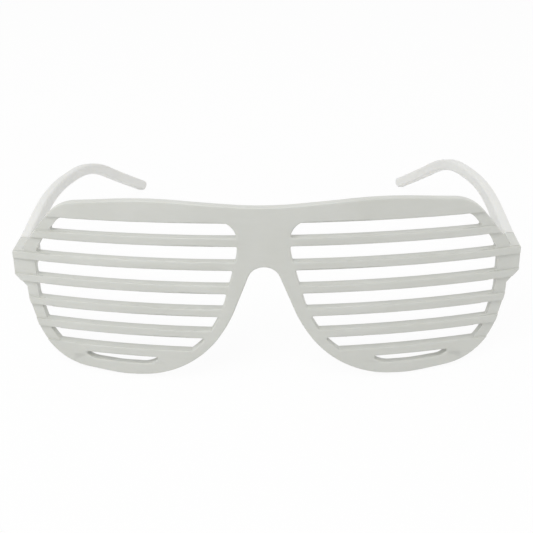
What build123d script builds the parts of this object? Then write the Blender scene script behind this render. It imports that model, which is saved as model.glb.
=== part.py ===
import os
from math import asin, atan2, cos, degrees, hypot, pi, radians, sin, sqrt, tan

from build123d import *

# Slatted novelty glasses, open and standing on a table, in millimetres.
# The front is one moulding, bent about the nose and slit into slats, and it
# leans back. Two arms run back from it on hinge screws and end on the table.
# +X is to the wearer's left, the front faces -Y, and the table is at Z = 0.

# Front moulding
overall_width = 150.0
front_height = 53.2
front_thickness = 3.1
front_bend_radius = 205.5
front_lean = 12.0
face_to_middle = 69.4
edge_round = 0.5
rear_edge_round = 0.3

# Slats and slots
slat_height = 2.6
slot_corner_round = 0.45
crescent_tip_round = 0.3
rim_step = 0.6
rim_step_overlap = 2.4

# Lugs at the outer edge, which turn back to the arms
lug_overhang = 3.8
lug_height = 7.5
lug_chamfer = 3.6
lug_return = 7.5
lug_strip = 1.2

# Nose rests on the back of the front
nose_rest_width = 2.6
nose_rest_depth = 2.6
nose_rest_inset = 0.7
nose_rest_taper = 6.0
nose_rest_round = 0.6
nose_rest_end_shares = [0.45, 0.60]

# Hinge knuckles and screws
knuckle_radius = 1.7
hinge_offset = 0.5
knuckle_drop = 2.5
knuckle_setback = 2.1
knuckle_gap = 0.15
knuckle_clearance = 0.3
screw_radius = 0.6
screw_clearance = 0.05
screw_head_radius = 1.0
screw_head_height = 0.7
screw_slot_width = 0.35
screw_slot_depth = 0.35

# Arms
arm_thickness = 3.0
arm_root_height = 7.5
arm_height = 3.9
arm_reach = 107.19
arm_straight = 16.0
arm_bow = 17.2
arm_edge_round = 0.8
tip_round_share = 0.48
seam_gap = 0.25

# Cuts run past what they cut by this much
overrun = 2.0

# Corners of the half outline: share of the rim's half width, share of the
# front's height, and share of the shorter side that the corner's arc takes up
rim_corner_shares = [
    (0.000, 0.960, 0.27),
    (0.470, 1.004, 0.37),
    (0.831, 0.965, 0.29),
    (1.000, 0.700, 0.125),
    (1.000, 0.412, 0.14),
    (0.922, 0.047, 0.60),
    (0.590, -0.0035, 0.19),
    (0.287, 0.023, 0.78),
    (0.136, 0.346, 0.18),
    (0.046, 0.643, 0.477),
]

# Corners of one lens opening, in the same shares
opening_corner_shares = [
    (0.103, 0.893, 0.60),
    (0.103, 0.718, 0.36),
    (0.171, 0.391, 0.19),
    (0.295, 0.090, 0.72),
    (0.590, 0.059, 0.19),
    (0.885, 0.103, 0.56),
    (0.951, 0.421, 0.18),
    (0.954, 0.679, 0.34),
    (0.820, 0.893, 0.20),
]

# Tops of the slots, from the top one down, as shares of the front's height
slot_top_shares = [0.8805, 0.7555, 0.6235, 0.4925, 0.3615, 0.2355, 0.112]

# Corners of the arm's top edge: share of its reach, share of its height over the table
arm_corner_shares = [
    (0.295, 1.065, 0.47),
    (0.646, 0.885, 0.38),
]

half_width = overall_width / 2
rim_half_width = half_width - lug_overhang


def turn_angle(before, corner, after):
    """Angle through which a path turns at a corner."""
    way_in = atan2(corner[1] - before[1], corner[0] - before[0])
    way_out = atan2(after[1] - corner[1], after[0] - corner[0])
    turn = abs(way_out - way_in)
    return min(turn, 2 * pi - turn)


def rounded_outline(corners):
    """Draw a closed outline whose corners (x, y, share) are rounded by tangent arcs."""
    radii = []
    for place, corner in enumerate(corners):
        before = corners[place - 1]
        after = corners[(place + 1) % len(corners)]
        run_in = hypot(corner[0] - before[0], corner[1] - before[1])
        run_out = hypot(after[0] - corner[0], after[1] - corner[1])
        tangent_length = corner[2] * min(run_in, run_out)
        radii.append(tangent_length / tan(turn_angle(before, corner, after) / 2))
    FilletPolyline(*[(x, y) for x, y, share in corners], radius=radii, close=True)


def point_between(start, end, share):
    """The point at a share of the way from one point to another."""
    return (start[0] + share * (end[0] - start[0]), start[1] + share * (end[1] - start[1]))


def offset_path(points, distance):
    """An open path moved to its right, square to itself, by a distance."""
    moved = []
    for place, point in enumerate(points):
        before = points[max(place - 1, 0)]
        after = points[min(place + 1, len(points) - 1)]
        start = before if place else point
        end = after if place < len(points) - 1 else point
        way_in = atan2(point[1] - start[1], point[0] - start[0])
        way_out = atan2(end[1] - point[1], end[0] - point[0])
        if not place:
            way_in = way_out
        if place == len(points) - 1:
            way_out = way_in
        middle = (way_in + way_out) / 2
        reach = distance / cos((way_out - way_in) / 2)
        moved.append((point[0] + reach * sin(middle), point[1] - reach * cos(middle)))
    return moved


def face_depth(x, depth):
    """How far a point on the bent sheet lies behind the middle of its face."""
    return front_bend_radius - sqrt((front_bend_radius - depth) ** 2 - x**2)


# The front stands on the back edge of its rims, where they are lowest
lowest_x = rim_half_width * rim_corner_shares[6][0]
lowest_depth = face_depth(lowest_x, front_thickness) - rear_edge_round
lean = radians(front_lean)
stand_height = lowest_depth * sin(lean) + rear_edge_round * (1 - cos(lean))

# The front's own level plane, and the plane that its outline is drawn on
front_level = Plane(
    origin=(0, -face_to_middle, stand_height), x_dir=(1, 0, 0), z_dir=(0, sin(lean), cos(lean))
)
front_face = Plane(
    origin=front_level.origin, x_dir=(1, 0, 0), z_dir=-front_level.y_dir
)
front_back = Plane(
    origin=front_level.origin, x_dir=(-1, 0, 0), z_dir=front_level.y_dir
)
sheet_depth = face_depth(half_width, front_thickness) + overrun

rim_corners = [
    (x * rim_half_width, y * front_height, share) for x, y, share in rim_corner_shares
]
rim_corners += [(-x, y, share) for x, y, share in reversed(rim_corners[1:])]
opening_corners = [
    (x * rim_half_width, y * front_height, share) for x, y, share in opening_corner_shares
]
nose_corners = [corner[:2] for corner in rim_corners[7:10]]
slot_tops = [share * front_height for share in slot_top_shares]
slot_bottoms = [top + slat_height for top in slot_tops[1:]]

# The lug carries on from the second slat and ends in a chamfer back to the rim
lug_top = slot_bottoms[1]
lug_corners = [
    (rim_half_width - lug_overhang, lug_top),
    (half_width, lug_top),
    (half_width, lug_top - lug_height),
    (rim_half_width, lug_top - lug_height - lug_chamfer),
    (rim_half_width - lug_overhang, lug_top - lug_height - lug_chamfer),
]

# Where the lug's top meets the face, seen from the side, and where the hinge is
lug_front = face_depth(half_width, 0) + edge_round
lug_face_top = front_level.from_local_coords((half_width, lug_front, lug_top))
lug_face_middle = front_level.from_local_coords((half_width, lug_front, lug_top - knuckle_drop))
lug_face_bottom = front_level.from_local_coords((half_width, lug_front, lug_top - lug_height))
seam_y = lug_face_top.Y + lug_return
arm_level = lug_face_top.Z
arm_inner_x = half_width - arm_thickness
hinge_x = arm_inner_x - hinge_offset
hinge_y = seam_y + knuckle_setback
knuckle_bottom = arm_level - arm_root_height
knuckle_top = arm_level - knuckle_drop
knuckle_height = (knuckle_top - knuckle_bottom - 2 * knuckle_gap) / 3
middle_knuckle_bottom = knuckle_bottom + knuckle_height + knuckle_gap
top_knuckle_bottom = middle_knuckle_bottom + knuckle_height + knuckle_gap
lug_inner_x = hinge_x - knuckle_radius


def opening_end(level):
    """How far out the straight sides of the left lens opening reach at a height."""
    reach = 0
    for (x, y, share), (next_x, next_y, next_share) in zip(opening_corners, opening_corners[1:]):
        if min(y, next_y) <= level <= max(y, next_y):
            reach = max(reach, x + (next_x - x) * (level - y) / (next_y - y))
    return reach


# The step in the left rim between the slats, on its outer side
with BuildPart() as rim_recess:
    with BuildSketch(front_face):
        for top, bottom in zip(slot_tops, slot_bottoms):
            recess_start = min(opening_end(top), opening_end(bottom)) - rim_step_overlap
            crosses_lug = bottom < lug_top and top > lug_top - lug_height
            recess_end = half_width - lug_strip if crosses_lug else half_width + overrun
            with Locations(((recess_start + recess_end) / 2, (top + bottom) / 2)):
                Rectangle(recess_end - recess_start, top - bottom + edge_round)
    extrude(amount=-sheet_depth)
    with BuildSketch(front_level):
        with Locations((0, front_bend_radius)):
            Circle(front_bend_radius - rim_step)
    extrude(amount=front_height, mode=Mode.SUBTRACT)

# The part of the left lug that runs back to the seam, in line with the arm
with BuildPart() as lug_block:
    with BuildSketch(Plane.YZ.offset(arm_inner_x)):
        with BuildLine():
            Polyline(
                (lug_face_top.Y, lug_face_top.Z),
                (seam_y, arm_level),
                (seam_y, knuckle_bottom),
                (lug_face_bottom.Y, lug_face_bottom.Z),
                close=True,
            )
        make_face()
    extrude(amount=arm_thickness)
    outer_edges = lug_block.faces().sort_by(Axis.X)[-1].edges()
    fillet(outer_edges.sort_by(Axis.Z)[-1], arm_edge_round)
    outer_edges = lug_block.faces().sort_by(Axis.X)[-1].edges()
    fillet(outer_edges.sort_by(Axis.Z)[0], arm_edge_round)

# The left nose rest, on the back of the front, along the side of the nose notch
nose_side = [
    point_between(nose_corners[0], nose_corners[1], nose_rest_end_shares[0]),
    nose_corners[1],
    point_between(nose_corners[1], nose_corners[2], nose_rest_end_shares[1]),
]
rest_outline = offset_path(nose_side, nose_rest_inset)
rest_outline += reversed(offset_path(nose_side, nose_rest_inset + nose_rest_width))

with BuildPart() as nose_rest:
    with BuildSketch(front_back.offset(front_thickness / 2)):
        with BuildLine():
            Polyline(*[(-x, y) for x, y in rest_outline], close=True)
        make_face()
    extrude(amount=front_thickness / 2 + nose_rest_depth, taper=nose_rest_taper)
    rest_back = nose_rest.faces().sort_by(Axis((0, 0, 0), front_level.y_dir))[-1]
    fillet(rest_back.edges(), nose_rest_round)

# The left half of the front, mirrored at the end
with BuildPart() as front_frame:
    # Bent sheet, cut to the outline of the rim, bridge and lug
    with BuildSketch(front_level.offset(-overrun)):
        with Locations((0, front_bend_radius)):
            Circle(front_bend_radius)
            Circle(front_bend_radius - front_thickness, mode=Mode.SUBTRACT)
    extrude(amount=front_height + 2 * overrun)
    with BuildSketch(front_face) as outline:
        with BuildLine():
            rounded_outline(rim_corners)
        make_face()
        with BuildLine():
            Polyline(*lug_corners, close=True)
        make_face()
        fillet(outline.vertices().group_by(Axis.X)[-1], arm_edge_round)
        split(bisect_by=Plane.YZ)
    extrude(amount=-sheet_depth, mode=Mode.INTERSECT)

    # Slots between the slats, each bounded by the lens opening
    with BuildSketch(front_face) as slots:
        with BuildLine():
            rounded_outline(opening_corners)
        make_face()
        for top in slot_tops[1:]:
            with Locations((rim_half_width / 2, top + slat_height / 2)):
                Rectangle(rim_half_width, slat_height, mode=Mode.SUBTRACT)
        with Locations((rim_half_width / 2, slot_tops[0] + front_height / 2)):
            Rectangle(rim_half_width, front_height, mode=Mode.SUBTRACT)
        slot_levels = slot_tops[:-1] + slot_bottoms
        slot_ends = [
            corner
            for corner in slots.vertices()
            if min(abs(corner.Y - level) for level in slot_levels) < slot_corner_round / 10
        ]
        fillet(slot_ends, slot_corner_round)
        crescent_tips = slots.vertices().filter_by_position(
            Axis.Y, slot_tops[-1] - slot_corner_round / 10, slot_tops[-1] + slot_corner_round / 10
        )
        fillet(crescent_tips, crescent_tip_round)
    extrude(amount=-sheet_depth, mode=Mode.SUBTRACT)

    # Softened edges of the outline, on the face and at the back
    for place, radius in ((1, edge_round), (0, rear_edge_round)):
        sides = front_frame.faces().sort_by(SortBy.AREA)[-2:].sort_by(SortBy.RADIUS)
        outline_edges = sides[place].outer_wire().edges()
        fillet(outline_edges.filter_by(lambda edge: edge.center().X > radius), radius)

    # Softened edges of the slots on the face, one slot after the other
    for slot in range(len(slot_tops)):
        back, face = front_frame.faces().sort_by(SortBy.AREA)[-2:].sort_by(SortBy.RADIUS)
        fillet(face.inner_wires().sort_by(Axis.Z)[slot].edges(), edge_round)

    # Recessed rim between the slats
    add(rim_recess.part, mode=Mode.SUBTRACT)

    add(nose_rest.part)

    # The lug turns back to the seam, with a lower boss inside for two knuckles
    add(lug_block.part)
    with BuildSketch(Plane.YZ.offset(lug_inner_x)):
        with BuildLine():
            Polyline(
                (lug_face_middle.Y, knuckle_top),
                (seam_y, knuckle_top),
                (seam_y, knuckle_bottom),
                (lug_face_bottom.Y, lug_face_bottom.Z),
                close=True,
            )
        make_face()
    extrude(amount=half_width - arm_edge_round - lug_inner_x)
    for bottom in (knuckle_bottom, top_knuckle_bottom):
        with BuildSketch(Plane.XY.offset(bottom)):
            with Locations((hinge_x, hinge_y)):
                Circle(knuckle_radius)
            with Locations((hinge_x - knuckle_radius / 2, (seam_y + hinge_y) / 2)):
                Rectangle(knuckle_radius, knuckle_setback)
        extrude(amount=knuckle_height)
    with BuildSketch(Plane.XY.offset(knuckle_bottom - overrun)):
        with Locations((hinge_x, hinge_y)):
            Circle(screw_radius + screw_clearance)
    extrude(amount=arm_root_height + 2 * overrun, mode=Mode.SUBTRACT)
    with BuildSketch(Plane.XY.offset(knuckle_bottom - overrun)):
        with Locations((hinge_x, hinge_y)):
            Circle(screw_head_radius + screw_clearance)
    extrude(amount=screw_head_height + overrun, mode=Mode.SUBTRACT)
    mirror(about=Plane.YZ)
front_frame.part.label = "front_frame"

# Top edge of the arm, from the seam to its round tip, which stands on the table
arm_start_y = seam_y + seam_gap
tip_round = arm_height * tip_round_share
tip_y = seam_y + arm_reach - tip_round
arm_corners = [(seam_y + y * arm_reach, z * arm_level) for y, z, share in arm_corner_shares]
bend_y, bend_z = arm_corners[-1]
tip_distance = hypot(tip_y - bend_y, tip_round - bend_z)
tip_slope = atan2(tip_round - bend_z, tip_y - bend_y)
tip_slope += asin((arm_height - tip_round) / tip_distance)
tip_end = (
    tip_y + tip_round * cos(tip_slope) - (arm_height - tip_round) * sin(tip_slope),
    tip_round + tip_round * sin(tip_slope) + (arm_height - tip_round) * cos(tip_slope),
)
top_edge = [(arm_start_y, arm_level)] + arm_corners + [tip_end]
bottom_edge = offset_path(top_edge, arm_height)
arm_outline = [(*top_edge[0], 0)]
arm_outline += [(*corner, row[2]) for corner, row in zip(top_edge[1:3], arm_corner_shares)]
arm_outline += [(*tip_end, tip_round_share), (*bottom_edge[3], tip_round_share)]
arm_outline += [(*bottom_edge[2], arm_corner_shares[1][2])]
arm_outline += [(*bottom_edge[1], arm_corner_shares[0][2])]
arm_outline += [(arm_start_y, arm_level - arm_root_height, 0)]

# Plan of the arm: straight, then one arc inwards
bow_start = seam_y + arm_straight
bow_run = tip_y - bow_start
bow_radius = (bow_run**2 + arm_bow**2) / (2 * arm_bow)
bow_angle = degrees(asin(bow_run / bow_radius) + (arm_height + overrun) / bow_radius)

with BuildPart() as left_temple:
    with BuildSketch(Plane.YZ):
        with BuildLine():
            rounded_outline(arm_outline)
        make_face()
    extrude(amount=half_width + overrun)
    with BuildSketch(Plane.XY.offset(-overrun)):
        with BuildLine():
            outer = Line((half_width, arm_start_y), (half_width, bow_start))
            outer_bow = CenterArc(
                (half_width - bow_radius, bow_start), bow_radius, 0, bow_angle
            )
            inner = Line((arm_inner_x, arm_start_y), (arm_inner_x, bow_start))
            inner_bow = CenterArc(
                (half_width - bow_radius, bow_start), bow_radius - arm_thickness, 0, bow_angle
            )
            Line(outer @ 0, inner @ 0)
            Line(outer_bow @ 1, inner_bow @ 1)
        make_face()
    extrude(amount=2 * arm_level, mode=Mode.INTERSECT)
    root_edges = left_temple.faces().sort_by(Axis.Y)[0].edges()
    long_edges = [
        edge
        for edge in left_temple.edges()
        if edge not in root_edges
        and edge not in left_temple.edges().filter_by(Axis.X)
        and edge not in left_temple.edges().filter_by(Axis.Z)
    ]
    fillet(long_edges, arm_edge_round)

    # Middle knuckle, joined to the arm, and room for the lug's two
    with BuildSketch(Plane.XY.offset(middle_knuckle_bottom)):
        with Locations((hinge_x, hinge_y)):
            Circle(knuckle_radius)
        with Locations((hinge_x + knuckle_radius / 2, hinge_y)):
            Rectangle(knuckle_radius, 2 * knuckle_radius)
    extrude(amount=knuckle_height)
    for bottom, height in (
        (knuckle_bottom - overrun, overrun + knuckle_height + knuckle_gap),
        (top_knuckle_bottom - knuckle_gap, knuckle_height + 2 * knuckle_gap),
    ):
        with BuildSketch(Plane.XY.offset(bottom)):
            with Locations((hinge_x, hinge_y)):
                Circle(knuckle_radius + knuckle_clearance)
        extrude(amount=height, mode=Mode.SUBTRACT)
    with BuildSketch(Plane.XY.offset(knuckle_bottom)):
        with Locations((hinge_x, hinge_y)):
            Circle(screw_radius + screw_clearance)
    extrude(amount=knuckle_top - knuckle_bottom, mode=Mode.SUBTRACT)
left_temple.part.label = "left_temple"

with BuildPart() as right_temple:
    mirror(left_temple.part, about=Plane.YZ)
right_temple.part.label = "right_temple"

with BuildPart() as left_hinge_screw:
    with BuildSketch(Plane.XY.offset(knuckle_bottom)):
        with Locations((hinge_x, hinge_y)):
            Circle(screw_radius)
    extrude(amount=knuckle_top - knuckle_bottom)
    with BuildSketch(Plane.XY.offset(knuckle_bottom)):
        with Locations((hinge_x, hinge_y)):
            Circle(screw_head_radius)
    extrude(amount=screw_head_height)
    with BuildSketch(Plane.XY.offset(knuckle_bottom)):
        with Locations((hinge_x, hinge_y)):
            Rectangle(2 * screw_head_radius, screw_slot_width)
            Rectangle(screw_slot_width, 2 * screw_head_radius)
    extrude(amount=screw_slot_depth, mode=Mode.SUBTRACT)
left_hinge_screw.part.label = "left_hinge_screw"

with BuildPart() as right_hinge_screw:
    mirror(left_hinge_screw.part, about=Plane.YZ)
right_hinge_screw.part.label = "right_hinge_screw"

os.makedirs("parts", exist_ok=True)
for piece in (front_frame, left_temple, right_temple, left_hinge_screw, right_hinge_screw):
    export_step(piece.part, f"parts/{piece.part.label}.step")
    print(piece.part.label, piece.part.bounding_box(), piece.part.is_valid)
print("hinge axis", hinge_x, hinge_y, "from", knuckle_bottom, "to", knuckle_top)
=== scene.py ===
# %% [markdown]
# # Slatted novelty glasses
# A pair of white plastic party glasses stands open on a white table. The front
# is one bent moulding that is slit into bars, and two arms fold on small screws.
# The solid shapes are already made, so this lesson is about the finish: how
# moulded plastic and plated steel look, and how soft light shows their edges.

# %% Load the frame
import math

import bpy
import bmesh
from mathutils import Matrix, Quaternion, Vector
from mathutils.geometry import intersect_point_line


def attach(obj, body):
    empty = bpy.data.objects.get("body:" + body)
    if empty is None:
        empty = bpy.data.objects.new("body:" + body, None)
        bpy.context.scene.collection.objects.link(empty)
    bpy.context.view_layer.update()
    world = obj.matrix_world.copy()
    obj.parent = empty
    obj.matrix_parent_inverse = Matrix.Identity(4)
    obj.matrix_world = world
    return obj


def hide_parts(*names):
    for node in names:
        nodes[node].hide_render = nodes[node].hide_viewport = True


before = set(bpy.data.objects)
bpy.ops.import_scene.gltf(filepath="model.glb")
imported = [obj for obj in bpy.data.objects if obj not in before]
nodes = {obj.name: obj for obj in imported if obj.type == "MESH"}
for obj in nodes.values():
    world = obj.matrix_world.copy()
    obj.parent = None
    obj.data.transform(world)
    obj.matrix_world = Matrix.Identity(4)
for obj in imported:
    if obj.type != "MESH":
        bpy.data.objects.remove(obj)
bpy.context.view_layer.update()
MM = 0.001
print("pieces:", sorted(nodes))

# %% [markdown]
# Colours are easiest to read as the hex values of a paint program, which are
# sRGB. A shader wants linear light, so one function turns the one to the other.
# A second small function adds a node to a material, with its settings and links,
# so that each material below reads as a list of what it is made of.

# %% Colour and node helpers
def linear(hex_colour):
    """The linear RGBA of an sRGB colour such as #D8D9D2."""
    channels = [int(hex_colour[i : i + 2], 16) / 255 for i in (1, 3, 5)]
    light = [c / 12.92 if c <= 0.04045 else ((c + 0.055) / 1.055) ** 2.4 for c in channels]
    return light + [1.0]


def add_node(tree, kind, settings=None, links=None, **values):
    """Add a node, set its properties and inputs, and link its inputs to other outputs."""
    node = tree.nodes.new(kind)
    for name, value in (settings or {}).items():
        setattr(node, name, value)
    for name, value in values.items():
        node.inputs[name.replace("_", " ")].default_value = value
    for name, output in (links or {}).items():
        tree.links.new(output, node.inputs[name])
    return node


def new_material(name):
    """An empty node material, and its tree."""
    material = bpy.data.materials.new(name)
    material.use_nodes = True
    material.node_tree.nodes.clear()
    return material, material.node_tree


print("white plastic in linear light:", [round(c, 3) for c in linear("#D3D4CF")[:3]])

# %% [markdown]
# The glasses are injection-moulded polystyrene, filled white. Three things give
# that away. The colour is not one flat white: the resin flows from the gate in
# faint streaks and shrinks a little unevenly, so broad patches differ by a
# shade. The skin copies the mould, which was finished with fine stone or
# spark erosion, so highlights are broad and soft, with a grain under 0.1 mm.
# And light goes a little way into the plastic, which lifts the shaded edges.
# The real grain is finer than a pixel, so it is drawn at 0.35 mm.

# %% Moulded polystyrene
MOULD_GRAIN_MM = 0.35
SINK_PATCH_MM = 16.0
FLOW_STREAK_MM = 5.0
LIGHT_DEPTH_MM = 0.5
LIGHT_DEPTH_RGB = (1.0, 0.9, 0.7)
LIGHT_IN_SHARE = 0.15
STREAK_SHARE = 0.5
SHADE_AT, COLOUR_AT = 0.45, 1.05
SMOOTHER_BY, ROUGHER_BY = 0.05, 0.07
GRAIN_STRENGTH = 0.12
GRAIN_DEPTH_MM = 0.03
POLYSTYRENE_IOR = 1.59


def moulded_polystyrene(name, colour, shade, roughness, streak_stretch):
    """White polystyrene with broad patches, flow streaks and the mould's fine grain."""
    material, tree = new_material(name)
    place = add_node(tree, "ShaderNodeTexCoord").outputs["Object"]
    patches = add_node(
        tree, "ShaderNodeTexNoise", links={"Vector": place},
        Scale=1 / (SINK_PATCH_MM * MM), Detail=2.0, Roughness=0.5,
    )
    stretched = add_node(
        tree, "ShaderNodeMapping", links={"Vector": place}, Scale=streak_stretch
    )
    streaks = add_node(
        tree, "ShaderNodeTexNoise", links={"Vector": stretched.outputs["Vector"]},
        Scale=1 / (FLOW_STREAK_MM * MM), Detail=3.0, Roughness=0.6,
    )
    both = add_node(
        tree, "ShaderNodeMath", {"operation": "MULTIPLY_ADD"},
        {0: streaks.outputs["Fac"], 2: patches.outputs["Fac"]},
    )
    both.inputs[1].default_value = STREAK_SHARE
    spread = add_node(tree, "ShaderNodeMapRange", links={"Value": both.outputs["Value"]},
                      From_Min=SHADE_AT, From_Max=COLOUR_AT)
    tint = add_node(
        tree, "ShaderNodeMix", {"data_type": "RGBA"}, {"Factor": spread.outputs["Result"]},
    )
    tint.inputs["A"].default_value = linear(shade)
    tint.inputs["B"].default_value = linear(colour)
    grain = add_node(
        tree, "ShaderNodeTexNoise", links={"Vector": place},
        Scale=1 / (MOULD_GRAIN_MM * MM), Detail=2.0, Roughness=0.6,
    )
    sheen = add_node(tree, "ShaderNodeMapRange", links={"Value": grain.outputs["Fac"]},
                     To_Min=roughness - SMOOTHER_BY, To_Max=roughness + ROUGHER_BY)
    bump = add_node(tree, "ShaderNodeBump", links={"Height": grain.outputs["Fac"]},
                    Strength=GRAIN_STRENGTH, Distance=GRAIN_DEPTH_MM * MM)
    plastic = add_node(
        tree, "ShaderNodeBsdfPrincipled",
        links={"Base Color": tint.outputs["Result"], "Roughness": sheen.outputs["Result"],
               "Normal": bump.outputs["Normal"]},
        IOR=POLYSTYRENE_IOR, Subsurface_Weight=LIGHT_IN_SHARE,
        Subsurface_Scale=LIGHT_DEPTH_MM * MM,
    )
    plastic.inputs["Subsurface Radius"].default_value = LIGHT_DEPTH_RGB
    add_node(tree, "ShaderNodeOutputMaterial", links={"Surface": plastic.outputs["BSDF"]})
    return material


front_plastic = moulded_polystyrene(
    "white moulded polystyrene, front", "#D3D4CF", "#CDCEC8", 0.42, (1.0, 1.0, 4.0)
)
# The arms are the same white plastic as the front. Their copy has a lighter colour, which is
# painted light: it stands in for the extra light that falls on the arms.
arm_plastic_painted_lighter = moulded_polystyrene(
    "white moulded polystyrene, arms, painted lighter", "#E6E6E3", "#E0E0DD", 0.40, (1.0, 0.35, 1.0)
)
print("grain", MOULD_GRAIN_MM, "mm, patches", SINK_PATCH_MM, "mm")

# %% [markdown]
# The hinge screws are small turned steel screws with bright nickel plating. The
# lathe leaves rings round the head about 0.05 mm apart, which stretch a
# highlight into a short streak across the rings. They are drawn at 0.12 mm.

# %% Plated steel
TURNING_MM = 0.12
RING_STRENGTH = 0.2
RING_DEPTH_MM = 0.01
RUBBED, UNRUBBED = 0.18, 0.38


def plated_steel(name):
    """Nickel-plated turned steel, with faint rings and small rubbed spots."""
    material, tree = new_material(name)
    place = add_node(tree, "ShaderNodeTexCoord").outputs["Object"]
    rings = add_node(tree, "ShaderNodeTexNoise", links={"Vector": place},
                     Scale=1 / (TURNING_MM * MM), Detail=3.0)
    rubbed = add_node(tree, "ShaderNodeMapRange", links={"Value": rings.outputs["Fac"]},
                      To_Min=RUBBED, To_Max=UNRUBBED)
    bump = add_node(tree, "ShaderNodeBump", links={"Height": rings.outputs["Fac"]},
                    Strength=RING_STRENGTH, Distance=RING_DEPTH_MM * MM)
    steel = add_node(
        tree, "ShaderNodeBsdfPrincipled",
        links={"Roughness": rubbed.outputs["Result"], "Normal": bump.outputs["Normal"]},
        Base_Color=linear("#C9C7C0"), Metallic=1.0,
    )
    add_node(tree, "ShaderNodeOutputMaterial", links={"Surface": steel.outputs["BSDF"]})
    return material


screw_steel = plated_steel("nickel-plated turned steel")

# %% [markdown]
# On the real front the step between two bars runs out over the edge of the lug.
# The solid stops it a little short, inside a thin wall. Here a copy of the front
# loses that wall to a small cutter on each side. A boolean modifier suits a
# single clean cut like this better than moving points by hand. The cutter is
# drawn in the front's own leaning axes: across, in from the face, and up.

# %% Run the step out over the edge of the lugs
LEAN_DEG = 12.0
FRONT_FOOT_MM = Vector((0.0, -69.4, 1.506))
BEND_RADIUS_MM = 205.5
STEP_DEPTH_MM = 0.6
STEP_LOW_MM, STEP_HIGH_MM = 28.55, 33.42
WALL_INNER_MM, WALL_OUTER_MM = 73.75, 76.0
CUT_FRONT_MM = 10.0


def on_front(x, inward, up):
    """A place in metres from millimetres across, in from the face and up the leaning front."""
    lean = math.radians(LEAN_DEG)
    y = inward * math.cos(lean) + up * math.sin(lean)
    z = up * math.cos(lean) - inward * math.sin(lean)
    return (FRONT_FOOT_MM + Vector((x, y, z))) * MM


def step_floor(x):
    """How far in from the middle of the face the floor of the step lies."""
    return BEND_RADIUS_MM - math.sqrt((BEND_RADIUS_MM - STEP_DEPTH_MM) ** 2 - x * x)


bm = bmesh.new()
for side in (-1, 1):
    rings = []
    for up in (STEP_LOW_MM, STEP_HIGH_MM):
        plan = [
            (WALL_INNER_MM, CUT_FRONT_MM), (WALL_OUTER_MM, CUT_FRONT_MM),
            (WALL_OUTER_MM, step_floor(WALL_OUTER_MM)),
            (WALL_INNER_MM, step_floor(WALL_INNER_MM)),
        ]
        rings.append([bm.verts.new(on_front(side * x, inward, up)) for x, inward in plan])
    bm.faces.new(rings[0])
    bm.faces.new(rings[1])
    for corner in range(len(plan)):
        after = (corner + 1) % len(plan)
        bm.faces.new((rings[0][corner], rings[0][after], rings[1][after], rings[1][corner]))
bmesh.ops.recalc_face_normals(bm, faces=bm.faces)
cutter_mesh = bpy.data.meshes.new("step_cutter")
bm.to_mesh(cutter_mesh)
bm.free()
step_cutter = bpy.data.objects.new("step_cutter", cutter_mesh)
bpy.context.scene.collection.objects.link(step_cutter)

shown_front = nodes["front_frame"].copy()
shown_front.data = nodes["front_frame"].data.copy()
shown_front.name = "front_moulding"
bpy.context.scene.collection.objects.link(shown_front)
cut = shown_front.modifiers.new("run out the step", "BOOLEAN")
cut.operation = "DIFFERENCE"
cut.solver = "EXACT"
cut.object = step_cutter
cut_mesh = bpy.data.meshes.new_from_object(
    shown_front.evaluated_get(bpy.context.evaluated_depsgraph_get())
)
print("front faces before the cut:", len(shown_front.data.polygons))
print("front faces after the cut:", len(cut_mesh.polygons))
shown_front.modifiers.clear()
shown_front.data = cut_mesh
bpy.data.objects.remove(step_cutter)
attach(shown_front, "front")
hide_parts("front_frame")

# %% [markdown]
# The lowest opening of each lens is a crescent. On the real pair it is shorter
# and fuller than in the solid, and its lower wall slopes down to the back, so
# that little of the wall shows from above. Cutting a new hole would leave seams
# in the curved face. Sliding the points of the old hole's rim along the sheet
# keeps the face whole: each point keeps its depth in the bent sheet.

# %% Shorten the lowest opening of each lens
CRESCENT_MM = [
    (25.7, 5.96), (34.1, 3.76), (38.0, 3.45), (46.0, 3.58), (53.2, 4.39), (58.4, 5.96),
]
CRESCENT_TOP_MM = 5.96
CRESCENT_DEEP_MM = 2.5
CRESCENT_EDGE_MM = 0.65
OLD_MIDDLE_MM, OLD_HALF_MM = 42.05, 16.3
NEW_MIDDLE_MM, NEW_HALF_MM = 42.5, 11.6
END_FULLNESS = 0.75
WALL_SLOPE_MM = 0.45
SHEET_MM = 3.1
MERGE_MM = 0.002


def front_axes(place):
    """Millimetres across, in from the face and up the leaning front, from a place in metres."""
    lean = math.radians(LEAN_DEG)
    x, y, z = Vector(place) / MM - FRONT_FOOT_MM
    return x, y * math.cos(lean) - z * math.sin(lean), y * math.sin(lean) + z * math.cos(lean)


def by_the_crescent(x, up):
    """Whether a point of the front lies in the crescent or on its rounded edge."""
    point = Vector((x, up))
    inside = False
    for place, start in enumerate(CRESCENT_MM):
        end = CRESCENT_MM[(place + 1) % len(CRESCENT_MM)]
        nearest, share = intersect_point_line(point, Vector(start), Vector(end))
        nearest = Vector(start).lerp(Vector(end), min(max(share, 0), 1))
        if (nearest - point).length < CRESCENT_EDGE_MM:
            return True
        if (start[1] > up) != (end[1] > up):
            crossing = start[0] + (up - start[1]) * (end[0] - start[0]) / (end[1] - start[1])
            inside ^= x < crossing
    return inside


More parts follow.
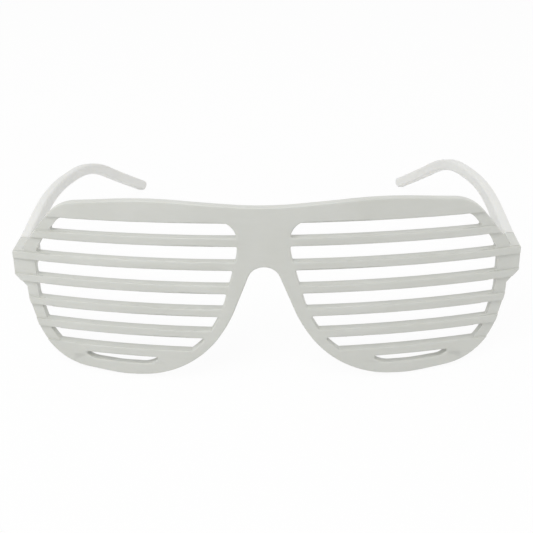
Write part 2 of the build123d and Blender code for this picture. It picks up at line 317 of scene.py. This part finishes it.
bm = bmesh.new()
bm.from_mesh(cut_mesh)
bmesh.ops.remove_doubles(bm, verts=bm.verts, dist=MERGE_MM * MM)
moved = 0
for vert in bm.verts:
    x, inward, up = front_axes(vert.co)
    if not by_the_crescent(abs(x), up):
        continue
    radius = math.hypot(BEND_RADIUS_MM - inward, x)
    depth_share = (BEND_RADIUS_MM - radius) / SHEET_MM
    across = (abs(x) - OLD_MIDDLE_MM) / OLD_HALF_MM
    drop = max(CRESCENT_TOP_MM - up, 0)
    new_x = math.copysign(NEW_MIDDLE_MM + NEW_HALF_MM * across, x)
    new_up = up - drop * END_FULLNESS * across * across
    new_up += WALL_SLOPE_MM * (1 - depth_share) * min(drop / CRESCENT_DEEP_MM, 1)
    new_inward = BEND_RADIUS_MM - math.sqrt(radius * radius - new_x * new_x)
    vert.co = on_front(new_x, new_inward, new_up)
    moved += 1
print("moved", moved, "points of the two crescents")

# %% [markdown]
# The slid points pull long triangles of the face over their neighbours, which
# shows as a dark wedge. Turning the edges between those triangles lays most of
# them flat again. Only edges inside the smooth face, or on a fold, are free to
# turn. A small wedge stays at the outer end of each crescent, and a thin line at
# its inner end.

# %% Lay the face flat again round the crescents
STRIP_MM = (20.0, 65.0)
STRIP_TOP_MM = 9.0
SMOOTH_DEG, FOLDED_DEG = 8.0, 150.0
TURNS = 3


def round_a_crescent(face):
    """Whether a face lies in the strip of the front round a crescent."""
    x, _, up = front_axes(face.calc_center_median())
    return STRIP_MM[0] < abs(x) < STRIP_MM[1] and up < STRIP_TOP_MM


def free_to_turn(edge, strip):
    """Whether an edge lies inside the strip, in its smooth face or on a fold."""
    if len(edge.link_faces) != 2 or not strip.issuperset(edge.link_faces):
        return False
    angle = math.degrees(edge.calc_face_angle(0))
    return angle < SMOOTH_DEG or angle > FOLDED_DEG


for _ in range(TURNS):
    strip_faces = [face for face in bm.faces if round_a_crescent(face)]
    strip = set(strip_faces)
    free = [edge for edge in bm.edges if free_to_turn(edge, strip)]
    bmesh.ops.beautify_fill(bm, faces=strip_faces, edges=free, method="ANGLE")
    print("edges free to turn:", len(free))

# %% [markdown]
# The cut leaves the copy without the solid's own shading, so it is set again.
# Every face is smooth, and an edge is sharp where its two faces meet at more
# than a set angle. Long flat faces next to narrow rounded edges shade unevenly
# when each counts the same, so a modifier weights the normals by area.

# %% Shade the cut copy by angle
SHARP_ANGLE_DEG = 42.0

for face in bm.faces:
    face.smooth = True
sharp = 0
for edge in bm.edges:
    gentle = edge.calc_face_angle(0) < math.radians(SHARP_ANGLE_DEG)
    edge.smooth = len(edge.link_faces) == 2 and gentle
    sharp += not edge.smooth
bm.to_mesh(cut_mesh)
bm.free()
weighted = shown_front.modifiers.new("normals by area", "WEIGHTED_NORMAL")
weighted.keep_sharp = True
print("sharp edges:", sharp)

# %% [markdown]
# Each solid piece keeps its shape and only gets its finish. The copy of the front
# gets one material for all its faces.

# %% Give each piece its finish
FINISHES = {
    "front_frame": front_plastic,
    "left_temple": arm_plastic_painted_lighter,
    "right_temple": arm_plastic_painted_lighter,
    "left_hinge_screw": screw_steel,
    "right_hinge_screw": screw_steel,
}
for node_name, finish in FINISHES.items():
    slots = nodes[node_name].material_slots
    for slot in slots:
        slot.material = finish
    print(node_name, "has", finish.name, "in", len(slots), "slots")
shown_front.data.materials.clear()
shown_front.data.materials.append(front_plastic)
for face in shown_front.data.polygons:
    face.material_index = 0

# %% [markdown]
# The photograph is taken from in front and above, with a nearly plain lens. The
# camera looks down at the glasses and is turned a little on its own axis.

# %% Camera
CAMERA_PLACE_MM = Vector((5.73, -256.77, 150.00))
CAMERA_AIM_MM = Vector((-0.76, -3.32, 0.68))
CAMERA_ROLL_DEG = -1.25
LENS_MM = 54.9
SENSOR_MM = 36.0

camera = bpy.data.objects.new("camera", bpy.data.cameras.new("camera"))
bpy.context.scene.collection.objects.link(camera)
camera.location = CAMERA_PLACE_MM * MM
look = (CAMERA_AIM_MM - CAMERA_PLACE_MM).to_track_quat("-Z", "Y")
camera.rotation_mode = "QUATERNION"
camera.rotation_quaternion = look @ Quaternion((0, 0, 1), math.radians(CAMERA_ROLL_DEG))
camera.data.sensor_fit = "HORIZONTAL"
camera.data.sensor_width = SENSOR_MM
camera.data.lens = LENS_MM
camera.data.clip_start = 0.01
bpy.context.scene.camera = camera
print("camera is", round(camera.location.length / MM), "mm from the middle")

# %% [markdown]
# The table is a white sheet with no edge in view. To stay pure white in the
# picture without flooding the plastic with light, the camera sees it as plain
# white, and only the soft shadow of the glasses is let through.

# %% Table
TABLE_SIZE_M = 3.0
SEEN_WHITE_SHARE = 0.94
bm = bmesh.new()
bmesh.ops.create_grid(bm, x_segments=1, y_segments=1, size=TABLE_SIZE_M / 2)
table_mesh = bpy.data.meshes.new("table")
bm.to_mesh(table_mesh)
bm.free()
table = bpy.data.objects.new("table", table_mesh)
bpy.context.scene.collection.objects.link(table)
paper, tree = new_material("white paper sweep")
matt = add_node(tree, "ShaderNodeBsdfDiffuse", Color=linear("#F4F4F3"))
glow = add_node(tree, "ShaderNodeEmission", Color=(1, 1, 1, 1), Strength=1.0)
rays = add_node(tree, "ShaderNodeLightPath")
seen = add_node(tree, "ShaderNodeMath", {"operation": "MAXIMUM"},
                {0: rays.outputs["Is Camera Ray"], 1: rays.outputs["Is Glossy Ray"]})
seen_part = add_node(tree, "ShaderNodeMath", {"operation": "MULTIPLY"},
                     {0: seen.outputs["Value"]})
seen_part.inputs[1].default_value = SEEN_WHITE_SHARE
sheet = add_node(tree, "ShaderNodeMixShader", links={0: seen_part.outputs["Value"],
                                                     1: matt.outputs["BSDF"],
                                                     2: glow.outputs["Emission"]})
add_node(tree, "ShaderNodeOutputMaterial", links={"Surface": sheet.outputs["Shader"]})
table.data.materials.append(paper)
print("table is", TABLE_SIZE_M, "m wide")

# %% [markdown]
# Product photographs of this kind are lit by a white tent: even light from all
# sides, a little more from above. The world gives the even part. A large panel
# above and in front is the main light. Weaker panels on both sides and behind
# lift the arms. The panels' places and widths are in millimetres.

# %% Light
TENT_STRENGTH = 0.54

world = bpy.data.worlds.new("white tent")
bpy.context.scene.world = world
world.use_nodes = True
tree = world.node_tree
tree.nodes.clear()
rays = add_node(tree, "ShaderNodeLightPath")
even = add_node(tree, "ShaderNodeBackground", Color=(1, 1, 1, 1), Strength=TENT_STRENGTH)
white = add_node(tree, "ShaderNodeBackground", Color=(1, 1, 1, 1), Strength=1.0)
seen = add_node(tree, "ShaderNodeMath", {"operation": "MAXIMUM"},
                {0: rays.outputs["Is Camera Ray"], 1: rays.outputs["Is Glossy Ray"]})
mix = add_node(tree, "ShaderNodeMixShader", links={0: seen.outputs["Value"],
                                                   1: even.outputs["Background"],
                                                   2: white.outputs["Background"]})
add_node(tree, "ShaderNodeOutputWorld", links={"Surface": mix.outputs["Shader"]})


def panel_light(name, place_mm, aim_mm, width_mm, watts):
    """A square soft panel that points from one place to another."""
    light = bpy.data.objects.new(name, bpy.data.lights.new(name, "AREA"))
    bpy.context.scene.collection.objects.link(light)
    light.location = Vector(place_mm) * MM
    light.rotation_mode = "QUATERNION"
    light.rotation_quaternion = (Vector(aim_mm) - Vector(place_mm)).to_track_quat("-Z", "Y")
    light.data.shape = "SQUARE"
    light.data.size = width_mm * MM
    light.data.energy = watts
    print(name, watts, "W")


panel_light("key panel", (-200, -340, 670), (0, -40, 20), 500, 2.4)
panel_light("back panel", (0, 350, 600), (0, -20, 20), 600, 0.25)
panel_light("left panel", (-700, 0, 220), (0, 0, 20), 500, 0.8)
panel_light("right panel", (700, 0, 220), (0, 0, 20), 500, 1.0)

# %% [markdown]
# The picture is shown as plain sRGB, so that a colour renders as it was written.

# %% Hand over
bpy.context.scene.view_settings.view_transform = "Standard"
